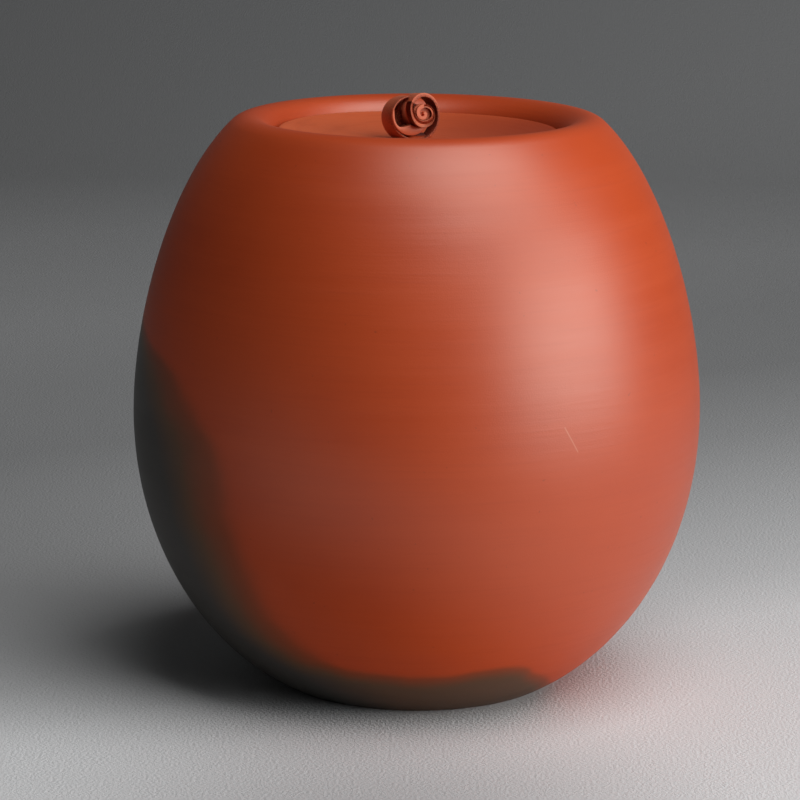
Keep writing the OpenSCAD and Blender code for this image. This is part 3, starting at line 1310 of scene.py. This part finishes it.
@dataclass(frozen=True)
class Studio:
    """A sweep of card with two soft boxes to the right: painted light falloff makes it pale under the jar,
    greyer before and behind.

    Each stop is a place and the grey as seen there, 0 to 255, painted to stand in for the light
    falling off away from the lamps. The place is the way back less a share of the way to the right.
    A painted shadow dims the card round a middle before the foot.
    """

    # Painted light falloff: stops of place and grey as seen.
    falloff_greys: tuple[tuple[float, int], ...] = (
        (-0.6, 90), (-0.4, 125), (-0.21, 221), (0.0, 216), (0.06, 199), (0.17, 181), (0.28, 160),
        (0.42, 144), (0.56, 150), (0.72, 163), (1.0, 167), (1.2, 160), (1.45, 147), (1.8, 130))
    aslant: float = 0.6
    # A painted shadow before the foot: its middle, reach, colour and share.
    shadow_middle: tuple[float, float, float] = (-0.01, -0.15, 0.0)
    shadow_reach: float = 0.13
    shadow_colour: Colour = fired(150, 150, 151)
    shadow_share: float = 0.6
    roughness: float = 0.85
    tooth_scale: float = 900.0
    tooth_depth: float = 0.0005
    half_width: float = 2.2
    front: float = -1.6
    bend_start: float = 1.1
    bend_r: float = 0.7
    bend_steps: int = 24
    height: float = 2.2
    lamps: tuple[Lamp, ...] = (
        Lamp("soft_box_right", (1.159, -0.573, 0.382), (1.16, 0.70), 12.1),
        Lamp("soft_box_above", (0.480, -0.458, 1.328), (1.16, 1.14), 15.0),
    )
    room_level: float = 0.03

    def card(self) -> bpy.types.Material:
        """The sweep's card: its painted grey falls off with the way back and to the left, with a painted
        shadow before the foot, under a fine tooth.

        Returns:
            The material.
        """
        bench = NodeBench("pale_card")
        place = bench.add("ShaderNodeTexCoord").outputs["Object"]
        east, north, _ = bench.split(place)
        away = bench.calc("MULTIPLY_ADD", east, -self.aslant, north)
        (near, _), (far, _) = self.falloff_greys[0], self.falloff_greys[-1]
        share = bench.calc("DIVIDE", bench.calc("SUBTRACT", away, near), far - near, clamp=True)
        tooth = bench.noise(place, self.tooth_scale, 2.0, 0.6)
        # Painted light falloff: the grey read off by place.
        grey = bench.ramp(share, [((at - near) / (far - near), fired(level - 2, level - 1, level))
                                  for at, level in self.falloff_greys])
        # Painted shadow of the jar on the card before its foot.
        apart = bench.vector("DISTANCE", place, Vector(self.shadow_middle)).outputs["Value"]
        dim = bench.span(bench.step(apart, self.shadow_reach, 0.0), 0.0, self.shadow_share)
        shader = bench.add("ShaderNodeBsdfPrincipled")
        bench.feed(shader.inputs["Base Color"], bench.blend(dim, grey, self.shadow_colour))
        bench.feed(shader.inputs["Roughness"], self.roughness)
        bench.feed(shader.inputs["Normal"], bench.bump(tooth, self.tooth_depth))
        bench.feed(bench.output.inputs["Surface"], shader.outputs[0])
        return bench.material

    def build(self) -> None:
        """Makes the sweep, the lamps and the dim room."""
        bend = arc((self.bend_start, self.bend_r), self.bend_r, -90, 0, self.bend_steps)
        line = np.concatenate([[[self.front, 0.0]], bend, [[self.bend_start + self.bend_r, self.height]]])
        sides = np.array([-self.half_width, self.half_width])
        points = np.stack([np.broadcast_to(sides, (len(line), 2)), np.repeat(line[:, :1], 2, axis=1),
                           np.repeat(line[:, 1:], 2, axis=1)], axis=-1).reshape(-1, 3)
        row = 2 * np.arange(len(line) - 1)[:, None]
        faces = np.concatenate([row, row + 1, row + 3, row + 2], axis=1)
        sweep = make_mesh("studio_sweep", points / MM, [faces])
        sweep.data.materials.append(self.card())
        sweep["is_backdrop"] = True
        for lamp in self.lamps:
            lamp.build()
        world = bpy.data.worlds.new("dim_room")
        world.use_nodes = True
        room = world.node_tree.nodes["Background"]
        room.inputs["Strength"].default_value = self.room_level
        room.inputs["Color"].default_value = (1.0, 1.0, 1.0, 1.0)
        bpy.context.scene.world = world


@dataclass(frozen=True)
class PhotoCamera:
    """The camera that took the photograph, worked out from the jar's outline in it.

    The offset is how far right of the frame's middle the jar's axis stands in the photograph.
    """

    distance: float = 1.175
    target_height: float = 0.0928
    elevation: float = 12.1
    roll: float = 0.0055
    sensor: float = 36.0
    focal_pixels: float = 3575.0
    frame_pixels: float = 800.0
    axis_offset_pixels: float = 16.87
    near: float = 0.05
    far: float = 20.0

    def build(self) -> bpy.types.Object:
        """Sets the camera on its line of sight, rolled a hair, with the frame shifted sideways.

        Returns:
            The camera.
        """
        rise = math.radians(self.elevation)
        back = Vector((0.0, -math.cos(rise), math.sin(rise)))
        data = bpy.data.cameras.new("photo_camera")
        data.sensor_width = self.sensor
        data.lens = self.focal_pixels / self.frame_pixels * self.sensor
        data.shift_x = -self.axis_offset_pixels / self.frame_pixels
        data.clip_start, data.clip_end = self.near, self.far
        camera = bpy.data.objects.new("photo_camera", data)
        look = (-back).to_track_quat("-Z", "Y").to_matrix().to_4x4()
        camera.matrix_world = (Matrix.Translation(Vector((0, 0, self.target_height)) + back * self.distance)
                               @ look @ Matrix.Rotation(self.roll, 4, "Z"))
        bpy.context.scene.collection.objects.link(camera)
        bpy.context.scene.camera = camera
        return camera


def corners() -> list[list[float]]:
    """The shown object's lowest and highest corner as plain lists."""
    return [list(corner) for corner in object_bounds()]


def main() -> None:
    """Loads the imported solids, dresses them piece by piece and sets up the studio."""
    logging.basicConfig(level=logging.INFO, format="%(name)s: %(message)s")
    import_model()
    PhotoCamera().build()
    for part in (JarBody(), LidPlate(), CurledKnob()):
        piece = part.build()
        log.info("%s: %d points, %d faces", piece.name, len(piece.data.vertices), len(piece.data.polygons))
    Studio().build()
    bpy.context.scene.view_settings.view_transform = "Standard"


if __name__ == "__main__":
    main()
